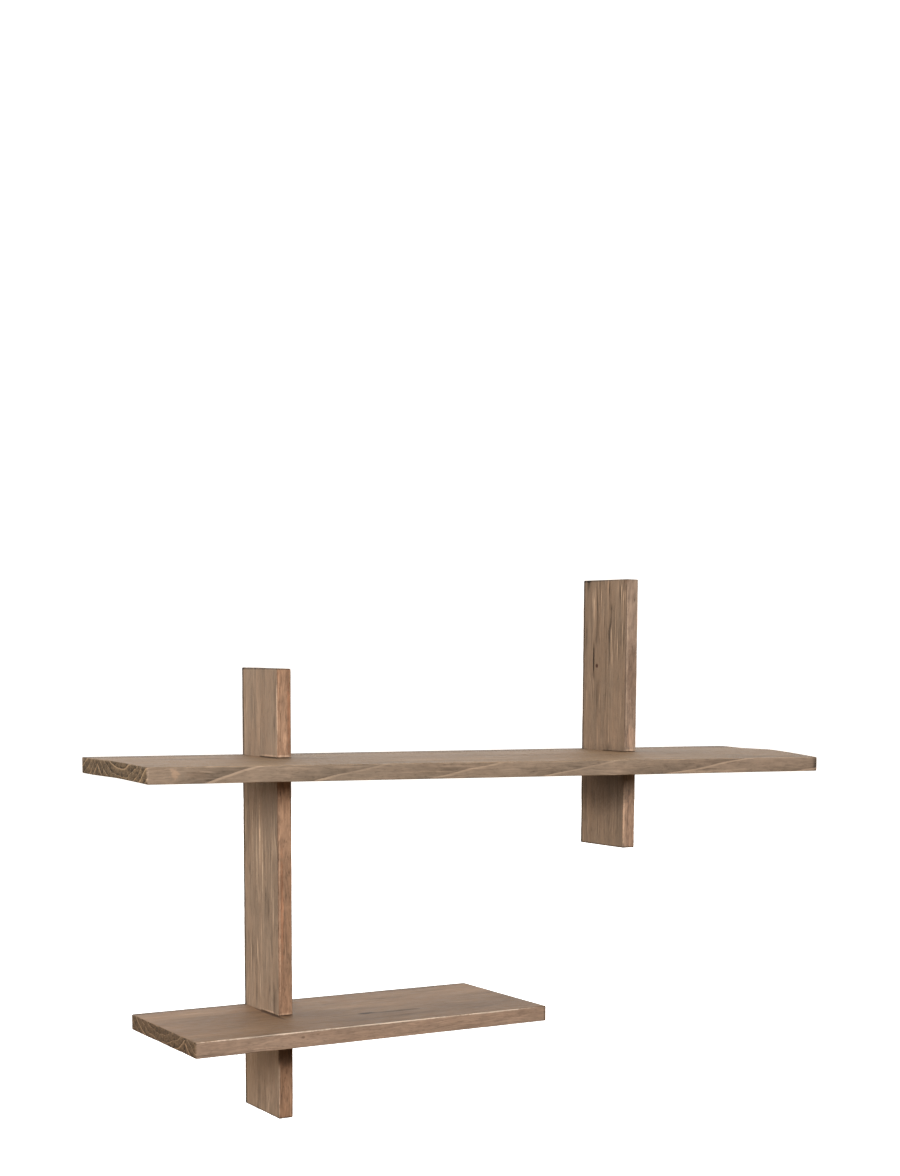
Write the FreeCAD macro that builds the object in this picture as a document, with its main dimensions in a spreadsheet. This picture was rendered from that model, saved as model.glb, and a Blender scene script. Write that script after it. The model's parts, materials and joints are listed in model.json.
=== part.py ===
import FreeCAD, Part
import math
import os
import Sketcher

# Wall shelf: two shelves cross two uprights in halving joints, and the whole shelf hangs from a keyhole
# plate in the back edge of each upright. All lengths are millimetres. +X runs along the shelves to the
# right, the back edges stand on the wall plane Y = 0 with the room on the -Y side, and +Z is up. The origin
# lies on the wall plane, midway between the centres of the two keyholes.

doc = FreeCAD.newDocument("wall_shelf")
sizes = doc.addObject("Spreadsheet::Sheet", "Sizes")

driving_sizes = [
    # boards
    ("upper_length", 1000, "upper shelf, end to end"),
    ("lower_length", 490, "lower shelf, end to end"),
    ("shelf_depth", 210, "both shelves, from the wall to the front edge"),
    ("shelf_thickness", 20, "both shelves"),
    ("left_length", 570, "left upright, top to bottom"),
    ("right_length", 375, "right upright, top to bottom"),
    ("upright_depth", 105, "both uprights, from the wall forwards"),
    ("upright_thickness", 20, "both uprights"),
    ("arris_radius", 2.2, "rounding worn onto every edge of a board"),
    # how the boards cross
    ("hanger_spacing", 530, "centre of the left upright to centre of the right one"),
    ("upper_overhang", 210, "upper shelf's left end to the left upright"),
    ("lower_overhang", 155, "lower shelf's left end to the left upright"),
    ("shelf_pitch", 325, "top of the upper shelf down to the top of the lower one"),
    ("left_rise", 112, "left upright above the upper shelf"),
    ("right_rise", 240, "right upright above the upper shelf"),
    ("halving_share", 0.5, "share of an upright's depth that its own notches take"),
    ("joint_fit", 0.15, "clearance on each side of a board in a notch or slot"),
    # keyhole plates
    ("hanger_height", 65, "centre of the keyholes above the upper shelf"),
    ("plate_width", 14, "hanger plate, also the diameter of its round ends"),
    ("plate_thickness", 2, "hanger plate"),
    ("plate_fit", 0.15, "clearance round the plate in its recess"),
    ("keyhole_radius", 5, "round part of the keyhole, which a screw's head goes through"),
    ("keyhole_slot_width", 5, "slot of the keyhole, which the screw's shank slides up"),
    ("keyhole_travel", 12, "how far the shank slides"),
    ("plate_screw_drop", 13, "lower plate screw below the keyhole's centre"),
    ("plate_screw_rise", 22, "upper plate screw above the keyhole's centre"),
    ("head_pocket_radius", 5.5, "pocket in the wood behind the keyhole"),
    ("head_pocket_depth", 9, "pocket in the wood, behind the plate"),
    # plate screws, countersunk at 45 degrees to the axis
    ("plate_screw_length", 16, "over all"),
    ("plate_screw_shank", 1.75, "radius of the shank"),
    ("plate_screw_head", 3.5, "radius of the head"),
    ("plate_screw_rim", 0.2, "straight edge of the head"),
    ("plate_screw_tip", 4, "length of the point"),
    ("plate_cross_span", 4.0, "cross recess, end to end"),
    ("plate_cross_width", 1.0, "cross recess, across one arm"),
    ("plate_cross_depth", 1.2, "cross recess, below the head's face"),
    # joint screws, countersunk at 45 degrees to the axis
    ("joint_screw_length", 90, "over all"),
    ("joint_screw_shank", 2.5, "radius of the shank"),
    ("joint_screw_head", 5, "radius of the head"),
    ("joint_screw_rim", 0.5, "straight edge of the head"),
    ("joint_screw_tip", 9, "length of the point"),
    ("joint_screw_sink", 0.6, "head's face below the upright's back edge"),
    ("joint_cross_span", 5.6, "cross recess, end to end"),
    ("joint_cross_width", 1.5, "cross recess, across one arm"),
    ("joint_cross_depth", 2.4, "cross recess, below the head's face"),
    # fits that all screws share
    ("shank_fit", 0.2, "radial clearance of a shank in the piece that it clamps"),
    ("head_fit", 0.1, "radial clearance of a head in its countersink"),
    ("pilot_fit", 0.05, "radial clearance of a shank in the wood that it bites"),
    ("pilot_run", 1, "hole beyond the point of a screw"),
    ("overrun", 1, "how far a cut starts outside the piece"),
]

for number, (alias, size, note) in enumerate(driving_sizes, start=1):
    sizes.set(f"A{number}", str(size))
    sizes.setAlias(f"A{number}", alias)
    sizes.set(f"B{number}", note)
doc.recompute()


def bind(feature, **formulas):
    """Ties properties to the sheet. Two underscores stand for a dot, as in Placement__Base__x."""
    for name, formula in formulas.items():
        feature.setExpression(name.replace("__", "."), formula)


def new_body(label):
    body = doc.addObject("PartDesign::Body", label)
    body.Label = label
    return body


def new_sketch(body, name, plane):
    sketch = body.newObject("Sketcher::SketchObject", name)
    support = [item for item in body.Origin.OriginFeatures if item.Role == plane][0]
    sketch.AttachmentSupport = (support, [""])
    sketch.MapMode = "FlatFace"
    return sketch


def evaluate(formula):
    """The sheet's value of a formula, used only to draw a sketch in its final shape."""
    return float(sizes.evalExpression(formula))


def tie(sketch, name, kind, *where, formula):
    """Adds a dimension, names it and lets the sheet drive it."""
    number = sketch.addConstraint(Sketcher.Constraint(kind, *where, evaluate(formula)))
    sketch.renameConstraint(number, name)
    sketch.setExpression(f"Constraints.{name}", formula)


def polygon_sketch(body, name, plane, corners):
    """A closed outline whose corners are pairs of formulas."""
    sketch = new_sketch(body, name, plane)
    points = [FreeCAD.Vector(evaluate(x), evaluate(y), 0) for x, y in corners]
    for start, end in zip(points, points[1:] + points[:1]):
        sketch.addGeometry(Part.LineSegment(start, end))
    for side in range(len(points)):
        following = (side + 1) % len(points)
        sketch.addConstraint(Sketcher.Constraint("Coincident", side, 2, following, 1))
    for side, (x, y) in enumerate(corners):
        tie(sketch, f"across_{side}", "DistanceX", -1, 1, side, 1, formula=x)
        tie(sketch, f"up_{side}", "DistanceY", -1, 1, side, 1, formula=y)
    return sketch


def circle_sketch(body, name, plane, radius):
    """A circle round the sketch's own origin."""
    sketch = new_sketch(body, name, plane)
    centre, up = FreeCAD.Vector(0, 0, 0), FreeCAD.Vector(0, 0, 1)
    sketch.addGeometry(Part.Circle(centre, up, evaluate(radius)))
    sketch.addConstraint(Sketcher.Constraint("Coincident", 0, 3, -1, 1))
    tie(sketch, "radius", "Radius", 0, formula=radius)
    return sketch


def slot_sketch(body, name, plane, low, high, radius):
    """An upright slot with round ends, whose end centres stand at the heights low and high."""
    sketch = new_sketch(body, name, plane)
    bottom, top, r = evaluate(low), evaluate(high), evaluate(radius)
    up = FreeCAD.Vector(0, 0, 1)
    right_foot, right_head = FreeCAD.Vector(r, bottom, 0), FreeCAD.Vector(r, top, 0)
    left_foot, left_head = FreeCAD.Vector(-r, bottom, 0), FreeCAD.Vector(-r, top, 0)
    top_circle = Part.Circle(FreeCAD.Vector(0, top, 0), up, r)
    bottom_circle = Part.Circle(FreeCAD.Vector(0, bottom, 0), up, r)
    right_line, top_arc, left_line, bottom_arc = range(4)
    sketch.addGeometry(Part.LineSegment(right_foot, right_head))
    sketch.addGeometry(Part.ArcOfCircle(top_circle, 0, math.pi))
    sketch.addGeometry(Part.LineSegment(left_head, left_foot))
    sketch.addGeometry(Part.ArcOfCircle(bottom_circle, math.pi, math.tau))
    sketch.addConstraint(Sketcher.Constraint("Tangent", right_line, 2, top_arc, 1))
    sketch.addConstraint(Sketcher.Constraint("Tangent", top_arc, 2, left_line, 1))
    sketch.addConstraint(Sketcher.Constraint("Tangent", left_line, 2, bottom_arc, 1))
    sketch.addConstraint(Sketcher.Constraint("Tangent", bottom_arc, 2, right_line, 1))
    sketch.addConstraint(Sketcher.Constraint("PointOnObject", top_arc, 3, -2))
    sketch.addConstraint(Sketcher.Constraint("PointOnObject", bottom_arc, 3, -2))
    sketch.addConstraint(Sketcher.Constraint("Equal", top_arc, bottom_arc))
    tie(sketch, "end_radius", "Radius", top_arc, formula=radius)
    tie(sketch, "high", "DistanceY", -1, 1, top_arc, 3, formula=high)
    tie(sketch, "low", "DistanceY", -1, 1, bottom_arc, 3, formula=low)
    return sketch


def pocket(body, name, sketch, depth):
    """Cuts along the sketch's own normal, which on the XZ plane points away from the wall."""
    cut = body.newObject("PartDesign::Pocket", name)
    cut.Profile = (sketch, [""])
    cut.Reversed = True
    bind(cut, Length=depth)
    return cut


def box_cut(body, name, x, y, z, length, width, height):
    cut = body.newObject("PartDesign::SubtractiveBox", name)
    bind(cut, Placement__Base__x=x, Placement__Base__y=y, Placement__Base__z=z)
    bind(cut, Length=length, Width=width, Height=height)
    return cut


# A turn that points an object's own Z axis away from the wall, along -Y
away_from_wall = FreeCAD.Rotation(FreeCAD.Vector(1, 0, 0), 90)


def bore(body, name, x, z, radius, start, end):
    """Drills along -Y from the depth start to the depth end, both counted from the wall."""
    cut = body.newObject("PartDesign::SubtractiveCylinder", name)
    cut.Placement = FreeCAD.Placement(FreeCAD.Vector(0, 0, 0), away_from_wall)
    bind(cut, Placement__Base__x=x, Placement__Base__y=f"-({start})", Placement__Base__z=z)
    bind(cut, Radius=radius, Height=f"({end}) - ({start})")
    return cut


def countersink(body, name, x, z, wide, narrow, start):
    """Cuts a 45 degree cone along -Y, from the radius wide at the depth start to the radius narrow."""
    cut = body.newObject("PartDesign::SubtractiveCone", name)
    cut.Placement = FreeCAD.Placement(FreeCAD.Vector(0, 0, 0), away_from_wall)
    bind(cut, Placement__Base__x=x, Placement__Base__y=f"-({start})", Placement__Base__z=z)
    bind(cut, Radius1=wide, Radius2=narrow, Height=f"({wide}) - ({narrow})")
    return cut


def board(label, x, y, z, length, width, height):
    """A plank with every edge rounded, its corner at x, y, z in the board's own frame."""
    body = new_body(label)
    blank = body.newObject("PartDesign::AdditiveBox", f"{label}_blank")
    bind(blank, Placement__Base__x=x, Placement__Base__y=y, Placement__Base__z=z)
    bind(blank, Length=length, Width=width, Height=height)
    doc.recompute()
    rounding = body.newObject("PartDesign::Fillet", f"{label}_arris")
    rounding.Base = (blank, ["Face1"])
    rounding.UseAllEdges = True
    bind(rounding, Radius="Sizes.arris_radius")
    doc.recompute()
    return body


def place(body, x, z):
    bind(body, Placement__Base__x=x, Placement__Base__z=z)


# Places that several pieces share, all worked out from the driving sizes
neck_depth = "Sizes.upright_depth * (1 - Sizes.halving_share)"
joint_head_foot = "Sizes.joint_screw_sink + Sizes.joint_screw_rim"
joint_screw_end = "Sizes.joint_screw_sink + Sizes.joint_screw_length"
upper_level = "-Sizes.hanger_height"
lower_level = "-Sizes.hanger_height - Sizes.shelf_pitch"
half_spacing = "Sizes.hanger_spacing / 2"
left_face = f"-{half_spacing} - Sizes.upright_thickness / 2"
half_slot = "(Sizes.upright_thickness / 2 + Sizes.joint_fit)"


# Shelves. A shelf's own frame starts at the left end of its back top edge.
def shelf(label, length, crossings):
    """A shelf with a slot in its back edge for each upright, at the distances of crossings."""
    body = board(label, "0", "-Sizes.shelf_depth", "-Sizes.shelf_thickness",
                 length, "Sizes.shelf_depth", "Sizes.shelf_thickness")
    for number, crossing in enumerate(crossings, start=1):
        box_cut(body, f"{label}_slot_{number}",
                f"{crossing} - {half_slot}", f"-{neck_depth}", "-Sizes.shelf_thickness - Sizes.overrun",
                f"2 * {half_slot}", f"{neck_depth} + Sizes.overrun",
                "Sizes.shelf_thickness + 2 * Sizes.overrun")
        bore(body, f"{label}_pilot_{number}", crossing, "-Sizes.shelf_thickness / 2",
             "Sizes.joint_screw_shank + Sizes.pilot_fit",
             f"{neck_depth} - Sizes.overrun", f"{joint_screw_end} + Sizes.pilot_run")
    return body


upper_crossing = "Sizes.upper_overhang + Sizes.upright_thickness / 2"
lower_crossing = "Sizes.lower_overhang + Sizes.upright_thickness / 2"
upper_shelf = shelf("upper_shelf", "Sizes.upper_length",
                    [upper_crossing, f"{upper_crossing} + Sizes.hanger_spacing"])
place(upper_shelf, f"{left_face} - Sizes.upper_overhang", upper_level)
lower_shelf = shelf("lower_shelf", "Sizes.lower_length", [lower_crossing])
place(lower_shelf, f"{left_face} - Sizes.lower_overhang", lower_level)


# Uprights. An upright's own frame has its zero height at the centre of its keyhole.
def upright(label, length, rise, shelf_tops):
    """An upright with a notch in its front edge for each shelf, whose tops are the heights shelf_tops."""
    body = board(label, "-Sizes.upright_thickness / 2", "-Sizes.upright_depth",
                 f"{rise} - Sizes.hanger_height - {length}",
                 "Sizes.upright_thickness", "Sizes.upright_depth", length)
    for number, shelf_top in enumerate(shelf_tops, start=1):
        screw_height = f"{shelf_top} - Sizes.shelf_thickness / 2"
        box_cut(body, f"{label}_notch_{number}",
                "-Sizes.upright_thickness / 2 - Sizes.overrun",
                "-Sizes.upright_depth - Sizes.overrun",
                f"{shelf_top} - Sizes.shelf_thickness - Sizes.joint_fit",
                "Sizes.upright_thickness + 2 * Sizes.overrun",
                f"Sizes.upright_depth + Sizes.overrun - {neck_depth}",
                "Sizes.shelf_thickness + 2 * Sizes.joint_fit")
        bore(body, f"{label}_screw_hole_{number}", "0", screw_height,
             "Sizes.joint_screw_shank + Sizes.shank_fit",
             "-Sizes.overrun", f"{neck_depth} + Sizes.overrun")
        bore(body, f"{label}_head_hole_{number}", "0", screw_height,
             "Sizes.joint_screw_head + Sizes.head_fit", "-Sizes.overrun", joint_head_foot)
        countersink(body, f"{label}_countersink_{number}", "0", screw_height,
                    "Sizes.joint_screw_head + Sizes.head_fit",
                    "Sizes.joint_screw_shank + Sizes.shank_fit", joint_head_foot)
    recess = slot_sketch(body, f"{label}_recess_outline", "XZ_Plane",
                         "-Sizes.plate_screw_drop", "Sizes.plate_screw_rise",
                         "Sizes.plate_width / 2 + Sizes.plate_fit")
    pocket(body, f"{label}_recess", recess, "Sizes.plate_thickness")
    head_pocket = slot_sketch(body, f"{label}_head_outline", "XZ_Plane", "0", "Sizes.keyhole_travel",
                              "Sizes.head_pocket_radius")
    pocket(body, f"{label}_head_pocket", head_pocket, "Sizes.plate_thickness + Sizes.head_pocket_depth")
    for end, height in plate_screw_heights.items():
        bore(body, f"{label}_{end}_pilot", "0", height, "Sizes.plate_screw_shank + Sizes.pilot_fit",
             "0", "Sizes.plate_screw_length + Sizes.pilot_run")
    return body


plate_screw_heights = {"top": "Sizes.plate_screw_rise", "bottom": "-Sizes.plate_screw_drop"}
left_upright = upright("left_upright", "Sizes.left_length", "Sizes.left_rise", [upper_level, lower_level])
place(left_upright, f"-{half_spacing}", "0")
right_upright = upright("right_upright", "Sizes.right_length", "Sizes.right_rise", [upper_level])
place(right_upright, half_spacing, "0")


# Keyhole plates, set flush into the back edges of the uprights
def hanger_plate(label):
    body = new_body(label)
    outline = slot_sketch(body, f"{label}_outline", "XZ_Plane",
                          "-Sizes.plate_screw_drop", "Sizes.plate_screw_rise", "Sizes.plate_width / 2")
    blank = body.newObject("PartDesign::Pad", f"{label}_blank")
    blank.Profile = (outline, [""])
    bind(blank, Length="Sizes.plate_thickness")
    keyhole = circle_sketch(body, f"{label}_keyhole_outline", "XZ_Plane", "Sizes.keyhole_radius")
    pocket(body, f"{label}_keyhole", keyhole, "Sizes.plate_thickness")
    slot = slot_sketch(body, f"{label}_slot_outline", "XZ_Plane", "0", "Sizes.keyhole_travel",
                       "Sizes.keyhole_slot_width / 2")
    pocket(body, f"{label}_slot", slot, "Sizes.plate_thickness")
    for end, height in plate_screw_heights.items():
        bore(body, f"{label}_{end}_hole", "0", height, "Sizes.plate_screw_shank + Sizes.shank_fit",
             "-Sizes.overrun", "Sizes.plate_thickness + Sizes.overrun")
        bore(body, f"{label}_{end}_head_hole", "0", height, "Sizes.plate_screw_head + Sizes.head_fit",
             "-Sizes.overrun", "Sizes.plate_screw_rim")
        countersink(body, f"{label}_{end}_countersink", "0", height,
                    "Sizes.plate_screw_head + Sizes.head_fit",
                    "Sizes.plate_screw_shank + Sizes.shank_fit", "Sizes.plate_screw_rim")
    return body


# Screws. A screw's own frame has its axis on Z, the head's face at zero and the point at +Z.
def screw(label, kind):
    """A countersunk wood screw with a cross recess. kind is plate or joint."""
    body = new_body(label)
    head, shank = f"Sizes.{kind}_screw_head", f"Sizes.{kind}_screw_shank"
    rim, tip = f"Sizes.{kind}_screw_rim", f"Sizes.{kind}_screw_tip"
    length = f"Sizes.{kind}_screw_length"
    profile = polygon_sketch(body, f"{label}_profile", "XZ_Plane", [
        ("0", "0"),
        (head, "0"),
        (head, rim),
        (shank, f"{rim} + {head} - {shank}"),
        (shank, f"{length} - {tip}"),
        ("0", length),
    ])
    turned = body.newObject("PartDesign::Revolution", f"{label}_turned")
    turned.Profile = (profile, [""])
    turned.ReferenceAxis = (profile, ["V_Axis"])
    far, near = f"Sizes.{kind}_cross_span / 2", f"Sizes.{kind}_cross_width / 2"
    cross = polygon_sketch(body, f"{label}_cross_outline", "XY_Plane", [
        (far, f"-{near}"), (far, near), (near, near),
        (near, far), (f"-{near}", far), (f"-{near}", near),
        (f"-{far}", near), (f"-{far}", f"-{near}"), (f"-{near}", f"-{near}"),
        (f"-{near}", f"-{far}"), (near, f"-{far}"), (near, f"-{near}"),
    ])
    pocket(body, f"{label}_cross", cross, f"Sizes.{kind}_cross_depth")
    body.Placement = FreeCAD.Placement(FreeCAD.Vector(0, 0, 0), away_from_wall)
    return body


for side, x in {"left": f"-{half_spacing}", "right": half_spacing}.items():
    place(hanger_plate(f"{side}_hanger_plate"), x, "0")
    for end, height in plate_screw_heights.items():
        place(screw(f"{side}_hanger_screw_{end}", "plate"), x, height)

joint_screws = {
    "upper_left_joint_screw": (f"-{half_spacing}", upper_level),
    "upper_right_joint_screw": (half_spacing, upper_level),
    "lower_joint_screw": (f"-{half_spacing}", lower_level),
}
for label, (x, level) in joint_screws.items():
    joint_screw = screw(label, "joint")
    place(joint_screw, x, f"{level} - Sizes.shelf_thickness / 2")
    bind(joint_screw, Placement__Base__y="-Sizes.joint_screw_sink")

doc.recompute()

# Every object has to be up to date and every piece one sound solid before anything is written
for item in doc.Objects:
    if "Invalid" in item.State or "Error" in item.State:
        raise RuntimeError(f"{item.Label} failed: {item.State}")
pieces = [item for item in doc.Objects if item.TypeId == "PartDesign::Body"]
for piece in pieces:
    if piece.Shape.isNull() or not piece.Shape.isValid() or len(piece.Shape.Solids) != 1:
        raise RuntimeError(f"{piece.Label} isn't one valid solid")

os.makedirs("parts", exist_ok=True)
for piece in pieces:
    piece.Shape.exportStep(f"parts/{piece.Label}.step")
    box = piece.Shape.BoundBox
    limits = (box.XMin, box.XMax, box.YMin, box.YMax, box.ZMin, box.ZMax)
    print(piece.Label, [round(limit, 2) for limit in limits], round(piece.Shape.Volume, 1))
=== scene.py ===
import json
import math
from functools import partial
import bmesh
import bpy
from mathutils import Euler, Matrix, Vector

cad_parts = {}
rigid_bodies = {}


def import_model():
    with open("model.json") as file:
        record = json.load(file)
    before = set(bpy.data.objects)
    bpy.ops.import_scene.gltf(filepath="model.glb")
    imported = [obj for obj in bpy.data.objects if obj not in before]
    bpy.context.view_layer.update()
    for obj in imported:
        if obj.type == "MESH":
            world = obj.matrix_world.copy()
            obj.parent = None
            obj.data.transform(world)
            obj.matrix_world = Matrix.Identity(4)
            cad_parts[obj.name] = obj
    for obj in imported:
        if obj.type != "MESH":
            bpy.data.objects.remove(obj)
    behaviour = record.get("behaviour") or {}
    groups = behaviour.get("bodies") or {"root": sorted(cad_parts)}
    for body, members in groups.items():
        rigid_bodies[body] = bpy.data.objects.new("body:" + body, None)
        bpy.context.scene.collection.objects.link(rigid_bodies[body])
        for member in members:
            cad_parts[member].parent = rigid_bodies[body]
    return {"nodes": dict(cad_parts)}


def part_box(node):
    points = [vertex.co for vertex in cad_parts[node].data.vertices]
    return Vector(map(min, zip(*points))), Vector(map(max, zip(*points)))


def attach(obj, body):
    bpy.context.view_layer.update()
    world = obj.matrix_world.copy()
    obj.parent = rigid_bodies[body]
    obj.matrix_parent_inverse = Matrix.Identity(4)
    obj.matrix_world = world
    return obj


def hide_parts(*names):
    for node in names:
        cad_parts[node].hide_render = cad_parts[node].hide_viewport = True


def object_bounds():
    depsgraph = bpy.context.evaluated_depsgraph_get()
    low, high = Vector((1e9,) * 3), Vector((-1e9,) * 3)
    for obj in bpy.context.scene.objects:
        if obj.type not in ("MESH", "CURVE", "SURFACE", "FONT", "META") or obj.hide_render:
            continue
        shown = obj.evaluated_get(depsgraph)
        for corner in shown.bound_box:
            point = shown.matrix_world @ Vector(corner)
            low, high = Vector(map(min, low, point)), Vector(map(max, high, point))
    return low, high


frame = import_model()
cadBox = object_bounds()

print("frame loaded:", len(frame["nodes"]), "solids")

# kinds of node that the trees below use often
mathNode = "ShaderNodeMath"
vectorNode = "ShaderNodeVectorMath"
mixNode = "ShaderNodeMix"
noiseNode = "ShaderNodeTexNoise"
rangeNode = "ShaderNodeMapRange"
joinNode = "ShaderNodeCombineXYZ"
splitNode = "ShaderNodeSeparateXYZ"

millimetre = 0.001  # the scene is in metres
noiseSpan = {"From Min": 0.3, "From Max": 0.7}  # nearly all of a noise lies between these


def linearColour(hexText):
    # sRGB hex to the linear colour that a shader reads
    channels = [int(hexText[i:i + 2], 16) / 255 for i in (1, 3, 5)]
    return [c / 12.92 if c <= 0.04045 else ((c + 0.055) / 1.055) ** 2.4 for c in channels] + [1.0]


def addNode(tree, kind, feeds=(), out=0, **settings):
    # a node with its settings; feeds are values or sockets, in order or by socket name
    node = tree.nodes.new(kind)
    for name, value in settings.items():
        setattr(node, name, value)
    for socket, feed in (feeds if isinstance(feeds, dict) else dict(enumerate(feeds))).items():
        if isinstance(feed, bpy.types.NodeSocket):
            tree.links.new(feed, node.inputs[socket])
        else:
            node.inputs[socket].default_value = feed
    return node.outputs[out]


def addObject(name, data):
    thing = bpy.data.objects.new(name, data)
    bpy.context.scene.collection.objects.link(thing)
    return thing


# white paper studio: the camera, two softboxes above it and the light that a white wall throws back
studio = {
    "cameraPlace": (-1.22944, -2.15763, 0.03379),
    "yaw": 31.834, "pitch": 6.455, "roll": 0.42,  # degrees: turned right, tipped down, leaned right
    "lens": 55.39, "sensorWidth": 36.0, "shiftX": -0.0384, "shiftY": 0.2518, "clipEnd": 200.0,
    "floorDrop": 2.2, "sweepRadius": 40.0,  # the shelf hangs well above the studio floor
    "wallLight": 2.5, "leftLight": 0.42, "roomLight": 0.03,  # light from the wall, the left and the room
    "leftColour": "#ffe6cc",
    "lowLight": 0.33, "lowColour": "#ffe0bc",  # what comes up from below, warmed by the wood
    "wallSpan": (-0.1, 0.35), "leftSpan": (-0.8, 0.0), "lowSpan": (-0.12, 0.08),  # where each blends in
    "panelSize": (0.81, 0.65), "panelDistance": 2.23, "panelElevation": 16.2,
    "panels": (("keySoftbox", -32.8, 49.0), ("fillSoftbox", 28.0, 18.5)),  # azimuth, watts
    "lightColour": "#ffffff", "sweepColour": "#ffffff",
}


def buildStudio(look):
    scene = bpy.context.scene
    scene.view_settings.view_transform = "Standard"
    yaw, pitch, roll = (math.radians(look[k]) for k in ("yaw", "pitch", "roll"))
    ahead = Vector((math.sin(yaw) * math.cos(pitch), math.cos(yaw) * math.cos(pitch), -math.sin(pitch)))
    levelRight = Vector((math.cos(yaw), -math.sin(yaw), 0))
    levelUp = levelRight.cross(ahead)
    right = math.cos(roll) * levelRight + math.sin(roll) * levelUp
    up = math.cos(roll) * levelUp - math.sin(roll) * levelRight
    lens = bpy.data.cameras.new("productCamera")
    lens.sensor_width = look["sensorWidth"]
    lens.lens = look["lens"]
    lens.shift_x = look["shiftX"]
    lens.shift_y = look["shiftY"]
    lens.clip_end = look["clipEnd"]
    camera = addObject("productCamera", lens)
    turn = Matrix((right, up, -ahead)).transposed().to_4x4()
    camera.matrix_world = Matrix.Translation(look["cameraPlace"]) @ turn
    scene.camera = camera

    # light that the white wall and the room throw back, by direction
    world = bpy.data.worlds.new("bouncedLight")
    world.use_nodes = True
    tree = world.node_tree
    node = partial(addNode, tree)
    direction = node("ShaderNodeTexCoord", out="Generated")
    way = node(splitNode, [direction]).node.outputs
    wallStart, wallFull = look["wallSpan"]
    fromWall = node(rangeNode, {"Value": way["Y"], "From Min": wallStart, "From Max": wallFull,
                                "To Min": look["roomLight"], "To Max": look["wallLight"]})
    leftFull, leftStart = look["leftSpan"]
    leftness = node(rangeNode, {"Value": way["X"], "From Min": leftFull, "From Max": leftStart,
                                "To Min": 1.0, "To Max": 0.0})
    fromLeft = node(mathNode, [leftness, look["leftLight"]], operation="MULTIPLY")
    above = node(mathNode, [fromWall, fromLeft], operation="MAXIMUM")
    lowFull, lowStart = look["lowSpan"]
    share = node(rangeNode, {"Value": way["Z"], "From Min": lowFull, "From Max": lowStart})
    strength = node(mixNode, {0: share, 2: look["lowLight"], 3: above})
    high = node(mixNode, {0: leftness, 6: linearColour(look["lightColour"]),
                          7: linearColour(look["leftColour"])}, out=2, data_type="RGBA")
    colour = node(mixNode, {0: share, 6: linearColour(look["lowColour"]), 7: high}, out=2, data_type="RGBA")
    background = tree.nodes["Background"]
    tree.links.new(colour, background.inputs["Color"])
    tree.links.new(strength, background.inputs["Strength"])
    scene.world = world

    elevation = math.radians(look["panelElevation"])
    aim = (cadBox[0] + cadBox[1]) / 2
    for name, azimuth, power in look["panels"]:
        panel = bpy.data.lights.new(name, "AREA")
        panel.shape = "RECTANGLE"
        panel.size, panel.size_y = look["panelSize"]
        panel.energy = power
        softbox = addObject(name, panel)
        turn = math.radians(azimuth)
        towards = Vector((math.sin(turn) * math.cos(elevation), -math.cos(turn) * math.cos(elevation),
                          math.sin(elevation)))
        softbox.location = aim + towards * look["panelDistance"]
        softbox.rotation_euler = towards.to_track_quat("Z", "Y").to_euler()
        softbox.visible_camera = False

    # one seamless pale sweep, a floor that runs up into a backdrop, evenly white by its own glow:
    # the camera sees it, and it throws nothing back at the shelf
    sweep = bmesh.new()
    bmesh.ops.create_uvsphere(sweep, u_segments=64, v_segments=32, radius=look["sweepRadius"])
    level = cadBox[0].z - look["floorDrop"]
    for point in sweep.verts:
        point.co.z = max(point.co.z, level)
    mesh = bpy.data.meshes.new("studioSweep")
    sweep.to_mesh(mesh)
    sweep.free()
    floor = addObject("studioSweep", mesh)
    paper = bpy.data.materials.new("litPaperSweep")
    paper.use_nodes = True
    shader = paper.node_tree.nodes["Principled BSDF"]
    shader.inputs["Base Color"].default_value = linearColour(look["sweepColour"])
    shader.inputs["Roughness"].default_value = 0.95
    shader.inputs["Emission Color"].default_value = linearColour(look["sweepColour"])
    shader.inputs["Emission Strength"].default_value = 1.0
    paper.cycles.emission_sampling = "NONE"
    mesh.materials.append(paper)
    for kind in ("diffuse", "glossy", "transmission", "shadow"):
        setattr(floor, "visible_" + kind, False)


buildStudio(studio)
print("studio built")


plankShape = {
    "frontBend": 1.3, "backBend": 1.5,  # how late the warp sets in, as powers of the way to the edge
    "slantStart": 0.6,  # share of the half length past which an end leans out of square
    "creaseAngle": 32.0,  # degrees past which an edge stays sharp
}


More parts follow.
